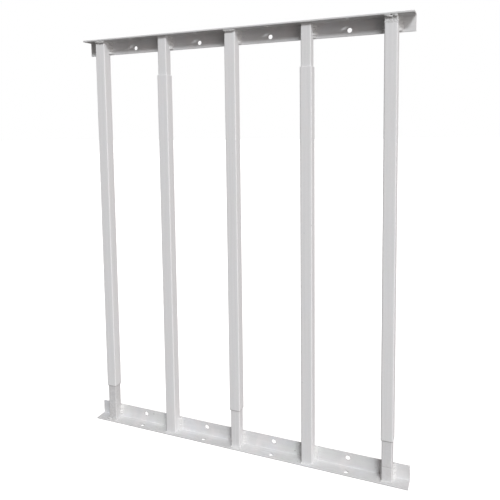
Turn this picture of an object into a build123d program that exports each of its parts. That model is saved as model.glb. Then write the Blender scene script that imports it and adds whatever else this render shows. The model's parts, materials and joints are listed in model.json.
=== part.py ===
from build123d import *
import os

# Expandable window guard: two angle rails joined by five telescopic square bars.
# Frame: X along the rails, +Y towards the wall, +Z up, all in millimetres.
# The origin is under the middle of the bottom rail, halfway across its depth.

# Rails, a light equal angle
RAIL_LENGTH = 664.0
LEG = 30.0
RAIL_THICKNESS = 3.0
ROOT_RADIUS = 5.0
TOE_RADIUS = 2.5

# Fixing holes, one in each leg in the middle of each gap between bars
HOLE_RADIUS = 4.25
HOLE_FROM_HEEL = 19.5

# Bars
BAR_COUNT = 5
CLEAR_GAP = 125.0
TUBE_LENGTH = 744.0
OUTER_SIDE = 22.0
OUTER_CORNER_RADIUS = 2.0
INNER_SIDE = 19.0
INNER_CORNER_RADIUS = 1.8
TUBE_WALL = 1.2
FREE_END_CHAMFER = 0.4
HEEL_CHAMFER = 5.2

# Height over both rails with the frame set as modelled
FRAME_HEIGHT = 826.0

# Weld metal
BEAD_LEG = 7.0
BASE_BEAD_LEG = 4.2
BEAD_END_GAP = 1.0

PITCH = OUTER_SIDE + CLEAR_GAP
WALL_Y = LEG / 2
LEG_FACE_Y = WALL_Y - RAIL_THICKNESS
BAR_Y = LEG_FACE_Y - OUTER_SIDE / 2
SEAT_Z = RAIL_THICKNESS

LEFT_BAR_X = -PITCH * (BAR_COUNT - 1) / 2
BAR_X = [LEFT_BAR_X + PITCH * number for number in range(BAR_COUNT)]
HOLE_X = [x + PITCH / 2 for x in BAR_X[:-1]]

# Bars 1, 3 and 5 carry their outer tube on the top rail, bars 2 and 4 on the bottom rail
OUTER_ON_TOP = (True, False, True, False, True)


def square(side, radius):
    """A square with rounded corners on the bar's axis."""
    return Pos(0, BAR_Y) * RectangleRounded(side, side, radius)


def rail_profile():
    """The angle's section in the YZ plane, with its heel at the wall and the underside."""
    outline = Polyline(
        (WALL_Y, 0),
        (-WALL_Y, 0),
        (-WALL_Y, RAIL_THICKNESS),
        (LEG_FACE_Y, RAIL_THICKNESS),
        (LEG_FACE_Y, LEG),
        (WALL_Y, LEG),
        close=True,
    )
    section = make_face(outline)
    root = section.vertices().sort_by_distance((LEG_FACE_Y, RAIL_THICKNESS))[0]
    section = fillet(root, ROOT_RADIUS)
    for corner in ((-WALL_Y, RAIL_THICKNESS), (LEG_FACE_Y, LEG)):
        toe = section.vertices().sort_by_distance(corner)[0]
        section = fillet(toe, TOE_RADIUS)
    return section


def rail():
    """The bottom rail with its two rows of fixing holes."""
    profile_plane = Plane(origin=(-RAIL_LENGTH / 2, 0, 0), x_dir=(0, 1, 0), z_dir=(1, 0, 0))
    body = extrude(profile_plane * rail_profile(), RAIL_LENGTH)
    drill = Cylinder(HOLE_RADIUS, 3 * RAIL_THICKNESS)
    for x in HOLE_X:
        body -= Pos(x, LEG_FACE_Y, HOLE_FROM_HEEL) * Rot(90, 0, 0) * drill
        body -= Pos(x, WALL_Y - HOLE_FROM_HEEL, SEAT_Z) * drill
    return body


def heel_cut(side):
    """The wedge ground off a tube's welded end so that it clears the rail's root radius."""
    back = BAR_Y + side / 2
    cut = HEEL_CHAMFER - (LEG_FACE_Y - back)
    outline = Polyline((back, SEAT_Z), (back - cut, SEAT_Z), (back, SEAT_Z + cut), close=True)
    plane = Plane(origin=(-side, 0, 0), x_dir=(0, 1, 0), z_dir=(1, 0, 0))
    return extrude(plane * make_face(outline), 2 * side)


def tube(side, radius):
    """A bar tube on the bottom rail, from its welded end up to its free end."""
    outside = extrude(Pos(0, 0, SEAT_Z) * square(side, radius), TUBE_LENGTH)
    rim = outside.edges().group_by(Axis.Z)[-1]
    outside = chamfer(rim, FREE_END_CHAMFER)
    bore_side = side - 2 * TUBE_WALL
    bore = extrude(Pos(0, 0, SEAT_Z) * square(bore_side, radius - TUBE_WALL), TUBE_LENGTH)
    return outside - bore - heel_cut(side)


def base_bead(side):
    """Weld round the front and sides of a tube's end, sloping down to the rail's forward leg."""
    foot = side + 2 * BASE_BEAD_LEG
    depth = LEG_FACE_Y - (BAR_Y - side / 2)
    foot_depth = depth + BASE_BEAD_LEG
    bottom = Pos(0, LEG_FACE_Y - foot_depth / 2, SEAT_Z) * Rectangle(foot, foot_depth)
    top = Pos(0, LEG_FACE_Y - depth / 2, SEAT_Z + BASE_BEAD_LEG) * Rectangle(side, depth)
    return loft([bottom, top])


def side_beads(side):
    """Weld in the two upright corners between a tube's sides and the rail's wall leg."""
    height = LEG - SEAT_Z - TOE_RADIUS - BEAD_END_GAP
    half = side / 2
    back_gap = LEG_FACE_Y - (BAR_Y + half)
    reach = BEAD_LEG + back_gap
    outline = Polyline(
        (-half - BEAD_LEG, LEG_FACE_Y),
        (half + BEAD_LEG, LEG_FACE_Y),
        (half, LEG_FACE_Y - reach),
        (-half, LEG_FACE_Y - reach),
        close=True,
    )
    return extrude(Pos(0, 0, SEAT_Z) * make_face(outline), height)


def weld(side, radius, rail_body):
    """All the weld metal round one tube's end, face to face with the tube and the rail."""
    metal = base_bead(side) + side_beads(side)
    tube_envelope = extrude(square(side, radius), LEG)
    gap_behind = LEG_FACE_Y - (BAR_Y + side / 2)
    if gap_behind > 0:
        gap_box = Box(side, gap_behind + radius, LEG)
        gap_y = LEG_FACE_Y - (gap_behind + radius) / 2
        tube_envelope += Pos(0, gap_y, LEG / 2) * gap_box
    return metal - tube_envelope - rail_body


def to_top(shape):
    """The same shape turned over onto the top rail."""
    return mirror(shape, about=Plane.XY.offset(FRAME_HEIGHT / 2))


def save(shape, node):
    export_step(shape, f"parts/{node}.step")


def main():
    os.makedirs("parts", exist_ok=True)
    bottom_rail = rail()
    save(bottom_rail, "bottom_rail")
    save(to_top(bottom_rail), "top_rail")

    outer_tube = tube(OUTER_SIDE, OUTER_CORNER_RADIUS)
    inner_tube = tube(INNER_SIDE, INNER_CORNER_RADIUS)
    for number, x in enumerate(BAR_X, start=1):
        place = Pos(x, 0, 0)
        local_rail = Pos(-x, 0, 0) * bottom_rail
        outer_weld = place * weld(OUTER_SIDE, OUTER_CORNER_RADIUS, local_rail)
        inner_weld = place * weld(INNER_SIDE, INNER_CORNER_RADIUS, local_rail)
        if OUTER_ON_TOP[number - 1]:
            save(to_top(place * outer_tube), f"outer_tube_{number}")
            save(place * inner_tube, f"inner_tube_{number}")
            save(to_top(outer_weld), f"weld_top_{number}")
            save(inner_weld, f"weld_bottom_{number}")
        else:
            save(place * outer_tube, f"outer_tube_{number}")
            save(to_top(place * inner_tube), f"inner_tube_{number}")
            save(outer_weld, f"weld_bottom_{number}")
            save(to_top(inner_weld), f"weld_top_{number}")


main()
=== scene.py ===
import json
import math
import random

import bmesh
import bpy
from mathutils import Matrix, Vector, noise


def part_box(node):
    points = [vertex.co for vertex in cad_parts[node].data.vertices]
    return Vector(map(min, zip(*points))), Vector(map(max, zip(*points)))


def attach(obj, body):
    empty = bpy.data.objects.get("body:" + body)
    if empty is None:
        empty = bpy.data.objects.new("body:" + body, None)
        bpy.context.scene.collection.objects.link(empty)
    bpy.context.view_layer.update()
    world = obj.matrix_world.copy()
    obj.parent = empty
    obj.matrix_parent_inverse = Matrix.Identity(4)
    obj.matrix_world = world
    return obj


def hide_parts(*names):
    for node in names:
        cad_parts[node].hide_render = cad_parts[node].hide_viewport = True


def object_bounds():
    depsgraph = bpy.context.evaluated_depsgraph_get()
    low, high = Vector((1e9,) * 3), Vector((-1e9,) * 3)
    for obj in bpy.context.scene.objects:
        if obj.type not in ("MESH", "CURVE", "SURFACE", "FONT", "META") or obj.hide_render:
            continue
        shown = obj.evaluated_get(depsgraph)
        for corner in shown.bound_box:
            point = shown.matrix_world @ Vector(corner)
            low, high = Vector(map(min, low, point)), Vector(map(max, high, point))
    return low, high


MM = 0.001
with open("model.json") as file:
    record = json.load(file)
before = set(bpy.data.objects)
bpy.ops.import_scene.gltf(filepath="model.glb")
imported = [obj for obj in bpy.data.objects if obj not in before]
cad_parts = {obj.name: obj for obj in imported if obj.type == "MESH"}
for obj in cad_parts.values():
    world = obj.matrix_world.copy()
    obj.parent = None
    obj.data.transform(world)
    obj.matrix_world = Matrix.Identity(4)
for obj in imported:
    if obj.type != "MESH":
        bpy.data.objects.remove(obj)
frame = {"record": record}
cad_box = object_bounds()

# Bars and sizes read from the frame
BODIES = frame["record"]["behaviour"]["bodies"]
OUTER_TUBES = [node for body in BODIES.values() for node in body if node.startswith("outer_tube")]
BARS = sorted(int(node[-1]) for node in OUTER_TUBES)
RAIL_LOW, RAIL_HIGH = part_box("bottom_rail")
TOP_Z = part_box("top_rail")[1].z
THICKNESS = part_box("inner_tube_1")[0].z
FRONT_Y = RAIL_LOW.y
WALL_Y = RAIL_HIGH.y
LEG_FACE_Y = WALL_Y - THICKNESS
OUTER_LOW, OUTER_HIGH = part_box("outer_tube_1")
INNER_LOW, INNER_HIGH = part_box("inner_tube_1")
# The sliding gap on each side of an inner tube, and the wall that it leaves the outer tube
CLEARANCE = 0.3 * MM
WALL = (OUTER_HIGH.x - OUTER_LOW.x - INNER_HIGH.x + INNER_LOW.x) / 2 - CLEARANCE
CENTRE = (cad_box[0] + cad_box[1]) / 2


def body_of(node):
    """The CAD body that a node belongs to."""
    return next(body for body, members in BODIES.items() if node in members)


# ---------------------------------------------------------------- mesh helpers


def arc(before, here, after, radius, steps):
    """The points of one rounded corner between its two neighbours."""
    to_before = (before - here).normalized()
    to_after = (after - here).normalized()
    half = to_before.angle(to_after) / 2
    centre = here + (to_before + to_after).normalized() * radius / math.sin(half)
    first = here + to_before * radius / math.tan(half) - centre
    last = here + to_after * radius / math.tan(half) - centre
    turn = math.pi - 2 * half
    points = []
    for step in range(steps + 1):
        share = step / steps
        spread = first * math.sin((1 - share) * turn) + last * math.sin(share * turn)
        points.append(centre + spread / math.sin(turn))
    return points


def rounded(corners, arc_steps=6, flat_steps=1):
    """The points of a polygon with rounded corners, each corner given as (u, v, radius)."""
    places = [Vector(corner[:2]) for corner in corners]
    arcs = []
    for k, (_, _, radius) in enumerate(corners):
        after = places[(k + 1) % len(places)]
        arcs.append(arc(places[k - 1], places[k], after, radius, arc_steps))
    points = []
    for here, following in zip(arcs, arcs[1:] + arcs[:1]):
        points += here
        for step in range(1, flat_steps):
            points.append(here[-1].lerp(following[0], step / flat_steps))
    return points


def new_object(name, bm):
    """A scene object from a bmesh, which is freed."""
    bmesh.ops.recalc_face_normals(bm, faces=bm.faces)
    mesh = bpy.data.meshes.new(name)
    bm.to_mesh(mesh)
    bm.free()
    obj = bpy.data.objects.new(name, mesh)
    bpy.context.scene.collection.objects.link(obj)
    return obj


def apply_modifiers(obj):
    """Makes the modified mesh the object's own."""
    depsgraph = bpy.context.evaluated_depsgraph_get()
    result = bpy.data.meshes.new_from_object(obj.evaluated_get(depsgraph))
    old = obj.data
    obj.modifiers.clear()
    obj.data = result
    result.name = obj.name
    bpy.data.meshes.remove(old)


def keep_flats(obj):
    """Makes the flat faces shade flat and leaves all the turning to the rounded edges."""
    weighted = obj.modifiers.new("flats", "WEIGHTED_NORMAL")
    weighted.keep_sharp = True
    apply_modifiers(obj)


def remove(obj):
    """Deletes a helper object and its mesh."""
    mesh = obj.data
    bpy.data.objects.remove(obj)
    bpy.data.meshes.remove(mesh)


def add_block(bm, low, high):
    """A block between two corners."""
    size = Vector(high) - Vector(low)
    centre = (Vector(high) + Vector(low)) / 2
    bmesh.ops.create_cube(bm, size=1, matrix=Matrix.LocRotScale(centre, None, size))


def box_object(low, high):
    """A block between two corners as an object, used only for cutting."""
    bm = bmesh.new()
    add_block(bm, low, high)
    return new_object("cutter", bm)


def cut(obj, cutters, solver="EXACT"):
    """Takes the cutters out of an object and deletes them."""
    for cutter in cutters:
        modifier = obj.modifiers.new("cut", "BOOLEAN")
        modifier.operation = "DIFFERENCE"
        modifier.solver = solver
        modifier.object = cutter
    apply_modifiers(obj)
    for cutter in cutters:
        remove(cutter)


def turned_over(bm):
    """Mirrors a bottom-rail shape onto the top rail."""
    for vert in bm.verts:
        vert.co.z = TOP_Z - vert.co.z


def stand_for(obj, node, material):
    """Puts a finished piece in the place of its CAD node."""
    obj.data.materials.clear()
    obj.data.materials.append(material)
    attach(obj, body_of(node))
    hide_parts(node)


# ---------------------------------------------------------------- materials


class Nodes:
    """A short way to build the node tree of a material or a world."""

    def __init__(self, owner):
        owner.use_nodes = True
        self.tree = owner.node_tree
        self.tree.nodes.clear()

    def fill(self, node, key, value):
        """Sets one input, or links it when the value is another node's output."""
        if isinstance(value, bpy.types.NodeSocket):
            self.tree.links.new(value, node.inputs[key])
        else:
            node.inputs[key].default_value = value

    def add(self, kind, values=None, **settings):
        """A new node with its settings and the values of its inputs."""
        node = self.tree.nodes.new(kind)
        for key, value in settings.items():
            setattr(node, key, value)
        for key, value in (values or {}).items():
            self.fill(node, key, value)
        return node

    def scaled(self, scale):
        """Object coordinates stretched by a scale, so that a pattern can run along the piece."""
        where = self.add("ShaderNodeTexCoord").outputs["Object"]
        return self.add("ShaderNodeMapping", {"Vector": where, "Scale": scale}).outputs[0]

    def noise(self, scale, detail, rough, stretch=(1, 1, 1)):
        """Soft noise from about 0.25 to 0.75, with a scale in cells per metre."""
        values = {
            "Vector": self.scaled(stretch),
            "Scale": scale,
            "Detail": detail,
            "Roughness": rough,
        }
        return self.add("ShaderNodeTexNoise", values).outputs["Fac"]

    def remap(self, value, low, high, out_low, out_high):
        """The value's share of one range as the same share of another."""
        values = {
            "Value": value,
            "From Min": low,
            "From Max": high,
            "To Min": out_low,
            "To Max": out_high,
        }
        return self.add("ShaderNodeMapRange", values).outputs[0]

    def mix(self, share, first, second, blend="MIX"):
        """Two colours blended by a share."""
        node = self.add("ShaderNodeMix", data_type="RGBA", blend_type=blend)
        for index, value in ((0, share), (6, first), (7, second)):
            self.fill(node, index, value)
        return node.outputs[2]

    def math(self, kind, *values):
        """The result of one sum."""
        return self.add("ShaderNodeMath", dict(enumerate(values)), operation=kind).outputs[0]

    def bump(self, height, depth, strength, under=None):
        """Surface relief of a depth in metres, laid over the relief under it."""
        values = {"Height": height, "Distance": depth, "Strength": strength}
        if under:
            values["Normal"] = under
        return self.add("ShaderNodeBump", values).outputs[0]


# The mesh attribute that marks where the colour is darkened: painted shade on the top rail's hole
# walls, in the groove and at the free ends' rims, and darker paint on two tubes
DARKENED = "darkened"
# Base colours of the paint, and the dark colour of painted shade, darker paint and bare chips
WHITE = (0.80, 0.80, 0.805, 1)
INNER_WHITE = (0.775, 0.775, 0.78, 1)
RAIL_GREY = (0.70, 0.70, 0.703, 1)
WELD_GREY = (0.65, 0.65, 0.645, 1)
SHADE_AND_WEAR_COLOUR = (0.30, 0.29, 0.28, 1)
# Faint patches in the paint: tint, cells per metre, stretch, and the noise level where they start.
# Then the detail and roughness of that noise, and how far above the start the tint is full
PATCHES = (
    ((0.775, 0.79, 0.825, 1), 23.0, (1, 1, 1), 0.48),
    ((0.825, 0.79, 0.79, 1), 31.0, (1.3, 0.9, 1.0), 0.50),
    ((0.785, 0.81, 0.785, 1), 17.0, (0.8, 1.1, 1.4), 0.52),
)
PATCH_GRAIN = (2.0, 0.5)
PATCH_FADE = 0.18
# Noise in and on the paint: cells per metre, detail and roughness
STREAKS = (1.0, 4.0, 0.6)
SPECKLE = (420.0, 4.0, 0.65)
CORNER_SHADE_NOISE = (260.0, 3.0, 0.5)
DARKENING_NOISE = (300.0, 3.0, 0.5)
CHIPPED = (14.0, 2.0, 0.5)
SHEEN = (90.0, 4.0, 0.6)
PEEL = (850.0, 2.0, 0.5)
WAVES = (70.0, 2.0, 0.5)
LUMPS = (1000.0, 3.0, 0.6)
# What that noise gives: its low and high level, and the tone, share or roughness at each of them
STREAK_TONES = (0.3, 0.7, 0.955, 1.02)
SPECKLE_TONES = (0.25, 0.75, 0.965, 1.015)
CORNER_SHARES = (0.35, 0.65, 0.5, 1.0)
DARKENING_SHARES = (0.35, 0.6, 0.4, 0.9)
SHEEN_ROUGHNESS = (0.3, 0.7, 0.50, 0.68)
# The noise levels between which chips appear, and how shut in a corner is where its painted shade
# starts and where there is most of it
CHIPPED_LEVELS = (0.52, 0.60)
SHUT_IN = (0.35, 0.95)
# How much rougher the painted shade, darker paint and chips are than paint
SHADE_AND_WEAR_ROUGHNESS = 0.3
# How the streaks are stretched: their cells per metre in x, y and z
ALONG_RAIL = (6.0, 160.0, 160.0)
ALONG_BAR = (200.0, 200.0, 5.0)
ALL_WAYS = (60.0, 60.0, 60.0)
WAVE_STRETCH = (1, 1, 0.4)
# Chips in the paint: cells per metre, and the inner and outer edge of a chip as shares of a cell
CHIP_CELLS = 55.0
CHIP_CORE = 0.04
CHIP_EDGE = 0.08
# How far from a corner the painted shade reaches
CORNER_REACH = 6 * MM
# Depth and strength of the relief, and the depth of the lumps
PEEL_RELIEF = (0.06 * MM, 0.10)
WAVE_RELIEF = (0.25 * MM, 0.25)
LUMP_DEPTH = 0.2 * MM


def paint_colour(n, stretch, base, patches):
    """Paint with faint patches of other tints, streaks along the piece and fine speckle."""
    colour = base
    for tint, cells, shape, start in PATCHES:
        patch = n.noise(cells, *PATCH_GRAIN, shape)
        share = n.remap(patch, start, start + PATCH_FADE, 0, patches)
        colour = n.mix(share, colour, tint)
    shade = n.remap(n.noise(*STREAKS, stretch), *STREAK_TONES)
    speckle = n.remap(n.noise(*SPECKLE), *SPECKLE_TONES)
    tone = n.math("MULTIPLY", shade, speckle)
    grey = n.add("ShaderNodeCombineColor", {0: tone, 1: tone, 2: tone}).outputs[0]
    return n.mix(1.0, colour, grey, "MULTIPLY")


def shade_and_wear_share(n, corner_shade, chips):
    """How far the colour turns dark: painted shade in corners and where marked, darker paint, bare
    chips.
    """
    # Painted shade: darker where nearby surfaces shut the point in
    near = n.add("ShaderNodeAmbientOcclusion", {"Distance": CORNER_REACH}, samples=8)
    corner = n.remap(n.math("SUBTRACT", 1.0, near.outputs["AO"]), *SHUT_IN, 0, corner_shade)
    corner = n.math("MULTIPLY", corner, n.remap(n.noise(*CORNER_SHADE_NOISE), *CORNER_SHARES))
    # Painted shade and darker paint where the mesh attribute marks them
    darkened = n.add("ShaderNodeAttribute", attribute_name=DARKENED).outputs["Fac"]
    darkened = n.math("MULTIPLY", darkened, n.remap(n.noise(*DARKENING_NOISE), *DARKENING_SHARES))
    cells = {"Vector": n.scaled((1, 1, 1)), "Scale": CHIP_CELLS}
    to_chip = n.add("ShaderNodeTexVoronoi", cells).outputs["Distance"]
    chip = n.remap(to_chip, CHIP_CORE, CHIP_EDGE, 1, 0)
    chip = n.math("MULTIPLY", chip, n.remap(n.noise(*CHIPPED), *CHIPPED_LEVELS, 0, chips))
    return n.math("MAXIMUM", n.math("MAXIMUM", corner, darkened), chip)


def relief(n, lumps):
    """Orange peel over gentle waves, and over small lumps where there are any."""
    normal = n.bump(n.noise(*PEEL), *PEEL_RELIEF)
    normal = n.bump(n.noise(*WAVES, WAVE_STRETCH), *WAVE_RELIEF, normal)
    if lumps:
        normal = n.bump(n.noise(*LUMPS), LUMP_DEPTH, lumps, normal)
    return normal


def painted(name, stretch, base, patches, corner_shade, chips, lumps=0.0):
    """Light satin paint of a base colour with painted corner shade. The last four values are
    strengths, 0 to 1.
    """
    material = bpy.data.materials.new(name)
    n = Nodes(material)
    shade_and_wear = shade_and_wear_share(n, corner_shade, chips)
    rough = n.remap(n.noise(*SHEEN), *SHEEN_ROUGHNESS)
    surface = {
        "Base Color": n.mix(shade_and_wear, paint_colour(n, stretch, base, patches), SHADE_AND_WEAR_COLOUR),
        "Roughness": n.math("ADD", rough, n.math("MULTIPLY", shade_and_wear, SHADE_AND_WEAR_ROUGHNESS)),
        "Normal": relief(n, lumps),
    }
    shader = n.add("ShaderNodeBsdfPrincipled", surface)
    n.add("ShaderNodeOutputMaterial", {"Surface": shader.outputs[0]})
    return material


# The strength given after the patches is each paint's painted shade in its corners
rail_paint = painted("rail_paint", ALONG_RAIL, RAIL_GREY, patches=0.4, corner_shade=0.18, chips=0.7)
outer_paint = painted("outer_tube_paint", ALONG_BAR, WHITE, patches=0.2, corner_shade=0.15, chips=0.3)
inner_paint = painted("inner_tube_paint", ALONG_BAR, INNER_WHITE, patches=0.2, corner_shade=0.15, chips=0.3)
weld_paint = painted("weld_paint", ALL_WAYS, WELD_GREY, patches=0.15, corner_shade=0.12, chips=0.7, lumps=0.9)


# ---------------------------------------------------------------- rails

# Edge radii: the wall leg's two back edges, the toes, the forward leg's worn edge, and the root
HEEL_RADIUS = 0.6 * MM
TOE_RADIUS = 0.6 * MM
WORN_RADIUS = 0.4 * MM
ROOT_RADIUS = 1.2 * MM
# Edges that turn by more than this, the rims and the rail's ends, get a small bevel
RIM_ANGLE = math.radians(50)
RIM_BEVEL = 0.35 * MM
# The part of a hole's rim that counts as its wall
INNER_RIM = 0.4 * RIM_BEVEL
DRILL_SIDES = 40


def rail_outline():
    """The bottom angle's section as (y, z) points."""
    leg = RAIL_HIGH.z
    return rounded(
        [
            (WALL_Y, 0, HEEL_RADIUS),
            (FRONT_Y, 0, WORN_RADIUS),
            (FRONT_Y, THICKNESS, TOE_RADIUS),
            (LEG_FACE_Y, THICKNESS, ROOT_RADIUS),
            (LEG_FACE_Y, leg, TOE_RADIUS),
            (WALL_Y, leg, HEEL_RADIUS),
        ]
    )


def prism(outline, x_low, x_high):
    """A closed bar of a (y, z) section between two values of x."""
    bm = bmesh.new()
    ends = [[bm.verts.new((x, y, z)) for y, z in outline] for x in (x_low, x_high)]
    for end in ends:
        bm.faces.new(end)
    for index in range(len(outline)):
        before = index - 1
        bm.faces.new((ends[0][before], ends[0][index], ends[1][index], ends[1][before]))
    return bm


def hole_places(rail):
    """(centre, axis, radius) of each fixing hole that the record's bolt patterns give this rail."""
    low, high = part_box(rail)
    found = []
    for mount in frame["record"]["mounts"]:
        centre = Vector(mount["pos_m"])
        if mount["kind"] != "bolt_pattern" or not low.z - MM < centre.z < high.z + MM:
            continue
        reach = mount["dims"]["spacing_x_mm"] * MM / 2
        for side in (-1, 1):
            place = centre + Vector((side * reach, 0, 0))
            found.append((place, Vector(mount["axis"]), mount["dims"]["hole_r_mm"] * MM))
    return found


def drill(place, axis, radius):
    """A cutter for one hole through a rail's leg."""
    bm = bmesh.new()
    turn = Vector((0, 0, 1)).rotation_difference(axis).to_matrix().to_4x4()
    bmesh.ops.create_cone(
        bm,
        segments=DRILL_SIDES,
        radius1=radius,
        radius2=radius,
        depth=4 * THICKNESS,
        cap_ends=True,
        matrix=Matrix.Translation(place) @ turn,
    )
    return new_object("drill", bm)


def shade_hole_walls(mesh, holes):
    """Paints the walls of a rail's holes dark, as painted shade."""
    darkened = mesh.attributes.new(DARKENED, "FLOAT", "CORNER")
    for face in mesh.polygons:
        for place, axis, radius in holes:
            offset = face.center - place
            off_axis = (offset - axis * offset.dot(axis)).length
            if off_axis < radius + INNER_RIM:
                for corner in face.loop_indices:
                    darkened.data[corner].value = 1.0


def build_rail(node, upside_down):
    """One rail with softened edges and hole rims."""
    bm = prism(rail_outline(), RAIL_LOW.x, RAIL_HIGH.x)
    if upside_down:
        turned_over(bm)
    rail = new_object(f"{node}_angle", bm)
    holes = hole_places(node)
    cut(rail, [drill(*hole) for hole in holes])
    bevel = rail.modifiers.new("rim", "BEVEL")
    bevel.width = RIM_BEVEL
    bevel.segments = 2
    bevel.angle_limit = RIM_ANGLE
    rail.data.shade_smooth()
    keep_flats(rail)
    # Painted shade on the walls of the top rail's holes
    if upside_down:
        shade_hole_walls(rail.data, holes)
    stand_for(rail, node, rail_paint)


build_rail("bottom_rail", False)
build_rail("top_rail", True)


# ---------------------------------------------------------------- tubes

# Corner radii of the two tubes
OUTER_CORNER = 2.0 * MM
INNER_CORNER = 1.8 * MM
# How far the ground heel is cut back from the rail's wall leg
HEEL_CUT = 5.2 * MM
# Radii of the free end's rim, outside and inside
RIM_OUTSIDE = 0.85 * MM
RIM_INSIDE = 0.2 * MM
# Steps round a rim and a corner and across a flat, and the distance between rings along a tube
RIM_STEPS = 4
CORNER_STEPS = 5
FLAT_STEPS = 6
RING_STEP = 24 * MM
# The last two rings before the rim, measured from the free end
LAST_RINGS = (4 * MM, 2 * MM)
# A fine groove round one tube near its weld: its height above the rail, half width and depth
GROOVED = "inner_tube_5"
GROOVE_UP = 28.0 * MM
GROOVE_HALF = 0.9 * MM
GROOVE_DEPTH = 0.35 * MM
# Tubes whose paint is made darker and duller, and how much
DARKER_PAINT = {"inner_tube_1": 0.35, "inner_tube_5": 0.15}
# The free end: how far it is cut out of square, how far in that reaches, and its painted-shade rim
OUT_OF_SQUARE = 0.25 * MM
CUT_ZONE = 2.5 * MM
DARK_RIM = 1.5 * MM
# Edges that turn by more than this are drawn sharp
SHARP_ANGLE = math.radians(25)
# The waviness of a tube's faces: its depth, its cells per metre across and along the tube, and
# how far on in the pattern the next tube starts
WAVINESS = 0.05 * MM
WAVES_ACROSS = 30
WAVES_ALONG = 9
WAVES_ON = 7.3
# An outer tube's random seed is its bar's number, and this is added for an inner tube
INNER_SEED = 5


def tube_ring(side, corner, inset):
    """One ring of a tube's wall, at a depth inside its outer face, about the tube's axis."""
    half = side / 2 - inset
    radius = corner - inset
    signs = ((1, -1), (1, 1), (-1, 1), (-1, -1))
    corners = [(u * half, v * half, radius) for u, v in signs]
    return rounded(corners, CORNER_STEPS, FLAT_STEPS)


def wall_section(seat, end, grooved):
    """The wall's closed (inset, z) section: up the outside, over the rim and down the bore."""
    count = round((end - seat) / RING_STEP)
    step_up = (end - LAST_RINGS[0] - seat) / count
    rings = [seat + step_up * k for k in range(count + 1)] + [end - LAST_RINGS[1]]
    rim = []
    for radius, first_angle in ((RIM_OUTSIDE, 0), (RIM_INSIDE, 90)):
        for step in range(RIM_STEPS + 1):
            angle = math.radians(first_angle + 90 * step / RIM_STEPS)
            middle = RIM_OUTSIDE if first_angle == 0 else WALL - RIM_INSIDE
            rim.append((middle - radius * math.cos(angle), end - radius + radius * math.sin(angle)))
    outside = [(0.0, z) for z in rings]
    if grooved:
        middle = seat + GROOVE_UP
        groove = [(0.0, middle - GROOVE_HALF), (GROOVE_DEPTH, middle), (0.0, middle + GROOVE_HALF)]
        outside = sorted(outside + groove, key=lambda point: point[1])
    bore = [(WALL, z) for z in reversed(rings)]
    return outside + rim + bore


def skin(bm, rings):
    """Faces between each ring and the next, and between the last and the first."""
    for index, second in enumerate(rings):
        first = rings[index - 1]
        for k in range(len(first)):
            bm.faces.new((first[k - 1], first[k], second[k], second[k - 1]))


def build_tube(node, corner, material, seed):
    """One square tube: slightly wavy faces, a hand-cut free end and a ground heel at the weld."""
    low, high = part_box(node)
    side = high.x - low.x
    centre = (low + high) / 2
    end = THICKNESS + high.z - low.z
    on_top = low.z > THICKNESS + MM
    rng = random.Random(seed)
    tilt_x, tilt_y = (rng.uniform(-OUT_OF_SQUARE, OUT_OF_SQUARE) for _ in range(2))
    heel = high.y - (HEEL_CUT - (LEG_FACE_Y - high.y)) - centre.y
    bm = bmesh.new()
    darkened = bm.verts.layers.float.new(DARKENED)
    rings = []
    for inset, z in wall_section(THICKNESS, end, node == GROOVED):
        # Painted shade in the groove, and in a band at the free end of each tube on the top rail
        in_shade = inset == GROOVE_DEPTH or (on_top and end - z < DARK_RIM)
        ring = []
        for u, v in tube_ring(side, corner, inset):
            lift = max(0.0, v - heel) if z == THICKNESS else 0.0
            if end - z < CUT_ZONE:
                lift -= abs(tilt_x) + tilt_x * u / side + abs(tilt_y) + tilt_y * v / side
            pattern = (u * WAVES_ACROSS + seed * WAVES_ON, v * WAVES_ACROSS, z * WAVES_ALONG)
            shrink = 1 - WAVINESS * (1 + noise.noise(pattern)) / (side / 2)
            vert = bm.verts.new((u * shrink, v * shrink, z + lift))
            vert[darkened] = 1.0 if in_shade else DARKER_PAINT.get(node, 0.0)
            ring.append(vert)
        rings.append(ring)
    skin(bm, rings)
    bmesh.ops.translate(bm, verts=bm.verts, vec=(centre.x, centre.y, 0))
    if on_top:
        turned_over(bm)
    tube = new_object(f"{node}_section", bm)
    tube.data.shade_smooth()
    tube.data.set_sharp_from_angle(angle=SHARP_ANGLE)
    keep_flats(tube)
    stand_for(tube, node, material)


for bar in BARS:
    build_tube(f"outer_tube_{bar}", OUTER_CORNER, outer_paint, bar)
    build_tube(f"inner_tube_{bar}", INNER_CORNER, inner_paint, bar + INNER_SEED)


# ---------------------------------------------------------------- welds

# Reach of the upright runs of weld metal at their start, middle and end, and of the other runs
BOTTOM_SIDE_LEGS = (6.4 * MM, 7.4 * MM, 6.4 * MM)
TOP_SIDE_LEGS = (7.0 * MM, 8.0 * MM, 9.0 * MM)
BASE_LEG = 2.6 * MM
FRONT_LEG = 1.6 * MM
# Where the weld metal is heaped up in front of the tube, and how far along the tube it runs
HEAPED = {
    "weld_top_1": 4.0 * MM,
    "weld_top_3": 3.6 * MM,
    "weld_top_5": 14.0 * MM,
    "weld_bottom_1": 4.0 * MM,
}
SIDE_LENGTH = 24 * MM
# Ripples: their spacing, how much their reach varies, their depth and lift as shares of the
# reach, and how far they stray along the corner, and across it as a share of the reach
RIPPLE = 2.0 * MM
REACH_SPREAD = (0.8, 1.2)
RIPPLE_DEPTH = (0.32, 0.48)
RIPPLE_LIFT = 0.16
# The half width of a ripple as a share of its reach, and its half length
RIPPLE_WIDTH = 1.05
RIPPLE_LENGTH = 1.3 * RIPPLE
STRAY_ALONG = 0.4 * MM
STRAY_ACROSS = 0.12
# A heap has so many lumps, and so many more for each metre along the tube
FEWEST_LUMPS = 20
LUMPS_PER_METRE = 5 / MM
# How strongly the lumps gather near the ledge
GATHERING = 1.3
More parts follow.
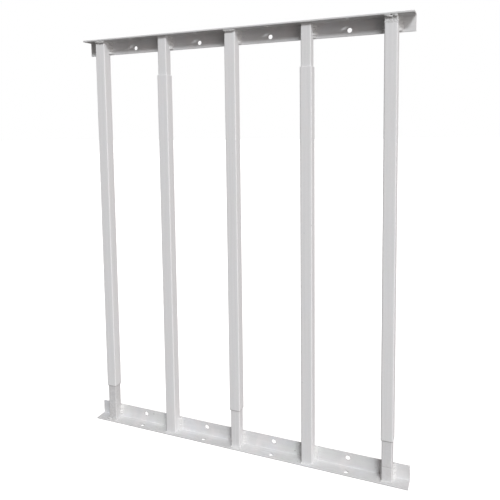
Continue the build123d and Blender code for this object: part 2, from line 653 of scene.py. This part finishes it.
# The size of a lump, how far it stands out from the tube's face, and how much of that is left at
# the far end of the heap
LUMP_RADIUS = (1.2 * MM, 2.3 * MM)
LUMP_PROUD = (0.4 * MM, 1.2 * MM)
PROUD_LEFT = 0.1
# The width and the thickness of a lump as shares of its radius, and how near it comes to the
# tube's edge
LUMP_WIDTH = (0.9, 1.6)
LUMP_FLATNESS = 0.8
LUMP_EDGE = 0.7
# How far along the tube the fat bead on the ledge climbs, as a share of the ledge
BEAD_CLIMB = 0.7
# How far behind the rail's edge the fat bead on the ledge stops
BEAD_BACK = 1.5 * MM
# Spatter: how many droplets, their size, how far out from the tube they land, and where they
# land in height on the rail's wall leg and in y on its forward leg
DROPLETS = 6
DROPLET_RADIUS = (0.7 * MM, 1.1 * MM)
DROPLET_OUT = (8 * MM, 13 * MM)
DROPLET_Z = (9 * MM, 25 * MM)
DROPLET_Y = (-11 * MM, 4 * MM)
# Melting the run into one mesh: its fineness, its rounds of smoothing, how deep the walls that it
# sticks to lie inside the tube and the rail, and how deep it bites into them
VOXEL = 0.45 * MM
SMOOTHING = 5
SLAB_DEPTH = 0.35 * MM
BITE = 0.2 * MM
# How far those walls reach beside the tube and above the run, and how far the cuts reach
MARGIN = 15 * MM
HEADROOM = 2 * MM
FAR = 60 * MM
# A wedge inside the rail's root radius, as (y, z) points
ROOT_TRIANGLE = (
    (LEG_FACE_Y - MM, THICKNESS - MM),
    (LEG_FACE_Y + MM, THICKNESS - MM),
    (LEG_FACE_Y + MM, THICKNESS + MM),
)
# A weld's random seed is its bar's number with one of these added
BOTTOM_SEED = 20
TOP_SEED = 40


def add_ball(bm, matrix):
    """A ball of weld metal under a matrix."""
    bmesh.ops.create_icosphere(bm, subdivisions=3, radius=1, matrix=matrix)


def stroke(bm, start, end, out, legs, rng):
    """A run of flat ripples along a corner, facing outwards between the two faces that meet there."""
    count = max(2, round((end - start).length / RIPPLE))
    along = (end - start).normalized()
    across = out.cross(along)
    turn = Matrix((across, out, along)).transposed().to_4x4()
    for step in range(count + 1):
        share = step / count
        half = int(share >= 0.5)
        near, far = legs[half], legs[half + 1]
        leg = (near + (far - near) * (2 * share - half)) * rng.uniform(*REACH_SPREAD)
        centre = start.lerp(end, share) + along * rng.uniform(-STRAY_ALONG, STRAY_ALONG)
        centre += out * leg * RIPPLE_LIFT
        centre += across * leg * rng.uniform(-STRAY_ACROSS, STRAY_ACROSS)
        height = leg * rng.uniform(*RIPPLE_DEPTH)
        size = Matrix.Diagonal((leg * RIPPLE_WIDTH, height, RIPPLE_LENGTH, 1))
        add_ball(bm, Matrix.Translation(centre) @ turn @ size)


def heap(bm, half, front, depth, rng):
    """Flat lumps of weld metal in front of a tube: a fat bead on the ledge, thinner along the face."""
    ledge = front - FRONT_Y
    for _ in range(round(FEWEST_LUMPS + depth * LUMPS_PER_METRE)):
        along = depth * rng.random() ** GATHERING
        radius = rng.uniform(*LUMP_RADIUS)
        proud = rng.uniform(*LUMP_PROUD) * (1 + PROUD_LEFT - along / depth)
        if along < BEAD_CLIMB * ledge:
            proud += ledge - BEAD_BACK
        across = rng.uniform(-1, 1) * (half - LUMP_EDGE * radius)
        thick = LUMP_FLATNESS * radius
        place = Vector((across, front - proud + thick, THICKNESS + along))
        size = Matrix.Diagonal((rng.uniform(*LUMP_WIDTH) * radius, thick, radius, 1))
        add_ball(bm, Matrix.Translation(place) @ size)


def spatter(bm, half, rng):
    """A few droplets of weld metal thrown onto the rail beside the tube."""
    for _ in range(DROPLETS):
        radius = rng.uniform(*DROPLET_RADIUS)
        out = rng.choice((-1, 1)) * (half + rng.uniform(*DROPLET_OUT))
        if rng.random() < 0.5:
            place = (out, LEG_FACE_Y, rng.uniform(*DROPLET_Z))
        else:
            place = (out, rng.uniform(*DROPLET_Y), THICKNESS)
        add_ball(bm, Matrix.Translation(place) @ Matrix.Scale(radius, 4))


def weld_strokes(bm, node, half, front, rng):
    """All the runs round one tube's end, in the bottom rail's place."""
    legs = TOP_SIDE_LEGS if "top" in node else BOTTOM_SIDE_LEGS
    for side in (-1, 1):
        foot = Vector((side * half, LEG_FACE_Y, THICKNESS))
        upright_out = Vector((side, -1, 0)).normalized()
        stroke(bm, foot, foot + Vector((0, 0, SIDE_LENGTH)), upright_out, legs, rng)
        corner = Vector((side * half, front, THICKNESS))
        base_out = Vector((side, 0, 1)).normalized()
        stroke(bm, foot, corner, base_out, (legs[0], BASE_LEG, FRONT_LEG), rng)
    left = Vector((-half, front, THICKNESS))
    right = Vector((half, front, THICKNESS))
    front_out = Vector((0, -1, 1)).normalized()
    stroke(bm, left, right, front_out, (FRONT_LEG, FRONT_LEG, FRONT_LEG), rng)
    if node in HEAPED:
        heap(bm, half, front, HEAPED[node], rng)


def melted(bm, name, middle, half, front):
    """The run and the walls that it sticks to, melted into one closed mesh."""
    reach = half + MARGIN
    ceiling = THICKNESS + SIDE_LENGTH + HEADROOM
    deep = SLAB_DEPTH
    add_block(bm, (-half + deep, front + deep, 0), (half - deep, WALL_Y, ceiling))
    add_block(bm, (-reach, LEG_FACE_Y + deep, 0), (reach, WALL_Y, ceiling))
    add_block(bm, (-reach, FRONT_Y - MM, -MM), (reach, WALL_Y, THICKNESS - deep))
    bmesh.ops.translate(bm, verts=bm.verts, vec=(middle, 0, 0))
    weld = new_object(name, bm)
    remesh = weld.modifiers.new("melt", "REMESH")
    remesh.mode = "VOXEL"
    remesh.voxel_size = VOXEL
    smooth = weld.modifiers.new("flow", "SMOOTH")
    smooth.iterations = SMOOTHING
    apply_modifiers(weld)
    return weld


def trim(weld, middle, half, front):
    """Cuts away all that lies inside the tube and the rail, or in front of the rail's edge."""
    left, right = middle - FAR, middle + FAR
    blocks = (
        ((middle - half + BITE, front + BITE, -FAR), (middle + half - BITE, FAR, 2 * FAR)),
        ((left, LEG_FACE_Y + BITE, -FAR), (right, FAR, 2 * FAR)),
        ((left, -FAR, -FAR), (right, FAR, THICKNESS - BITE)),
        ((left, -FAR, -FAR), (right, FRONT_Y + BITE, 2 * FAR)),
    )
    root = new_object("root", prism(ROOT_TRIANGLE, left, right))
    cut(weld, [box_object(*block) for block in blocks] + [root], "MANIFOLD")


def build_weld(node, seed):
    """All the weld metal round one tube's end, melted together and trimmed against its walls."""
    on_top = "top" in node
    bar = node[-1]
    outer_here = (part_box(f"outer_tube_{bar}")[0].z > THICKNESS + MM) == on_top
    low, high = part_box(f"outer_tube_{bar}" if outer_here else f"inner_tube_{bar}")
    middle = (low.x + high.x) / 2
    half = (high.x - low.x) / 2
    rng = random.Random(seed)
    bm = bmesh.new()
    weld_strokes(bm, node, half, low.y, rng)
    spatter(bm, half, rng)
    weld = melted(bm, f"{node}_bead", middle, half, low.y)
    trim(weld, middle, half, low.y)
    if on_top:
        bm = bmesh.new()
        bm.from_mesh(weld.data)
        turned_over(bm)
        bmesh.ops.reverse_faces(bm, faces=bm.faces)
        bm.to_mesh(weld.data)
        bm.free()
    weld.data.shade_smooth()
    stand_for(weld, node, weld_paint)


for bar in BARS:
    build_weld(f"weld_bottom_{bar}", bar + BOTTOM_SEED)
    build_weld(f"weld_top_{bar}", bar + TOP_SEED)


# ---------------------------------------------------------------- floor, light and camera

FLOOR_REACH = 30.0


def build_floor():
    """A plain pale floor that stands clear of the lighting of the frame."""
    bm = bmesh.new()
    bmesh.ops.create_grid(bm, x_segments=1, y_segments=1, size=FLOOR_REACH)
    floor = new_object("floor", bm)
    material = bpy.data.materials.new("floor_pale")
    n = Nodes(material)
    pale = n.add("ShaderNodeBsdfDiffuse", {"Color": (0.8, 0.8, 0.8, 1)})
    glow = n.add("ShaderNodeEmission", {"Color": (1, 1, 1, 1), "Strength": 1.0})
    both = n.add("ShaderNodeAddShader", {0: pale.outputs[0], 1: glow.outputs[0]})
    n.add("ShaderNodeOutputMaterial", {"Surface": both.outputs[0]})
    floor.data.materials.append(material)
    floor.visible_diffuse = False
    floor.visible_glossy = False
    floor.visible_shadow = False
    return floor


# The key light: far off, so that it lights all the bars alike, and wide, so that the shade beside
# each bar is soft
KEY_TOWARDS = Vector((0.61, -1.0, 0.90))
KEY_DISTANCE = 30.0
KEY_WIDTH = 10.0
KEY_HEIGHT = 3.2
KEY_POWER = 5600.0
KEY_COLOUR = (0.97, 1.0, 1.02)
# The studio sky is even apart from soft lobes: direction, how narrow each one is, and its strength
SKY_COLOUR = (1.03, 0.98, 0.965, 1)
SKY_BASE = 0.05
SKY_LOBES = (
    ((0.79, -0.55, 0.27), 10, 1.90),
    ((0.98, -0.17, 0.0), 6, 0.42),
    ((0.17, -0.20, 0.97), 4, 0.42),
    ((-0.45, -0.50, 0.74), 4, 0.18),
    ((0.50, -0.40, -0.77), 4, 0.25),
    ((0.0, 1.0, 0.0), 4, 1.0),
    ((-0.94, 0.34, 0.0), 4, 0.50),
)


def build_sky():
    """An even sky with a few broad brighter sides, and plain white where the camera sees it."""
    world = bpy.data.worlds.new("studio")
    n = Nodes(world)
    towards = n.add("ShaderNodeTexCoord").outputs["Generated"]
    strength = SKY_BASE
    for direction, narrow, amount in SKY_LOBES:
        ends = {0: towards, 1: Vector(direction).normalized()}
        facing = n.add("ShaderNodeVectorMath", ends, operation="DOT_PRODUCT").outputs["Value"]
        lobe = n.math("POWER", n.math("MAXIMUM", facing, 0.0), narrow)
        strength = n.math("MULTIPLY_ADD", lobe, amount, strength)
    sky = n.add("ShaderNodeBackground", {"Strength": strength, "Color": SKY_COLOUR})
    backdrop = n.add("ShaderNodeBackground", {"Color": (1, 1, 1, 1)})
    seen = n.add("ShaderNodeLightPath").outputs["Is Camera Ray"]
    mixed = n.add("ShaderNodeMixShader", {0: seen, 1: sky.outputs[0], 2: backdrop.outputs[0]})
    n.add("ShaderNodeOutputWorld", {"Surface": mixed.outputs[0]})
    bpy.context.scene.world = world


def build_key(floor):
    """A soft key light from the upper right, for the frame and not for the floor."""
    light = bpy.data.lights.new("key", "AREA")
    light.energy = KEY_POWER
    light.color = KEY_COLOUR
    light.shape = "RECTANGLE"
    light.size = KEY_WIDTH
    light.size_y = KEY_HEIGHT
    key = bpy.data.objects.new("key", light)
    key.location = CENTRE + KEY_TOWARDS.normalized() * KEY_DISTANCE
    key.rotation_euler = KEY_TOWARDS.to_track_quat("Z", "Y").to_euler()
    bpy.context.scene.collection.objects.link(key)
    unlit = bpy.data.collections.new("unlit_by_key")
    unlit.objects.link(floor)
    key.light_linking.receiver_collection = unlit
    unlit.collection_objects[0].light_linking.link_state = "EXCLUDE"


# The camera that fits the photograph: its place, how far it looks round, down and askew, and its lens
CAMERA_FROM_CENTRE = Vector((0.42914, -0.99115, 0.22446))
CAMERA_TURN = math.radians(23.6135)
CAMERA_DOWN = math.radians(5.1455)
CAMERA_ROLL = math.radians(-0.8478)
CAMERA_LENS = 40.474
CAMERA_SHIFT = (0.03729, -0.14080)


def build_camera():
    """The photograph's view: from the right, a little above the middle."""
    data = bpy.data.cameras.new("camera")
    data.lens = CAMERA_LENS
    data.shift_x, data.shift_y = CAMERA_SHIFT
    camera = bpy.data.objects.new("camera", data)
    turn = Matrix.Rotation(CAMERA_TURN, 4, "Z")
    turn @= Matrix.Rotation(math.pi / 2 - CAMERA_DOWN, 4, "X")
    turn @= Matrix.Rotation(CAMERA_ROLL, 4, "Z")
    camera.matrix_world = Matrix.Translation(CENTRE + CAMERA_FROM_CENTRE) @ turn
    bpy.context.scene.collection.objects.link(camera)
    bpy.context.scene.camera = camera


build_sky()
build_key(build_floor())
build_camera()
bpy.context.scene.view_settings.view_transform = "Standard"
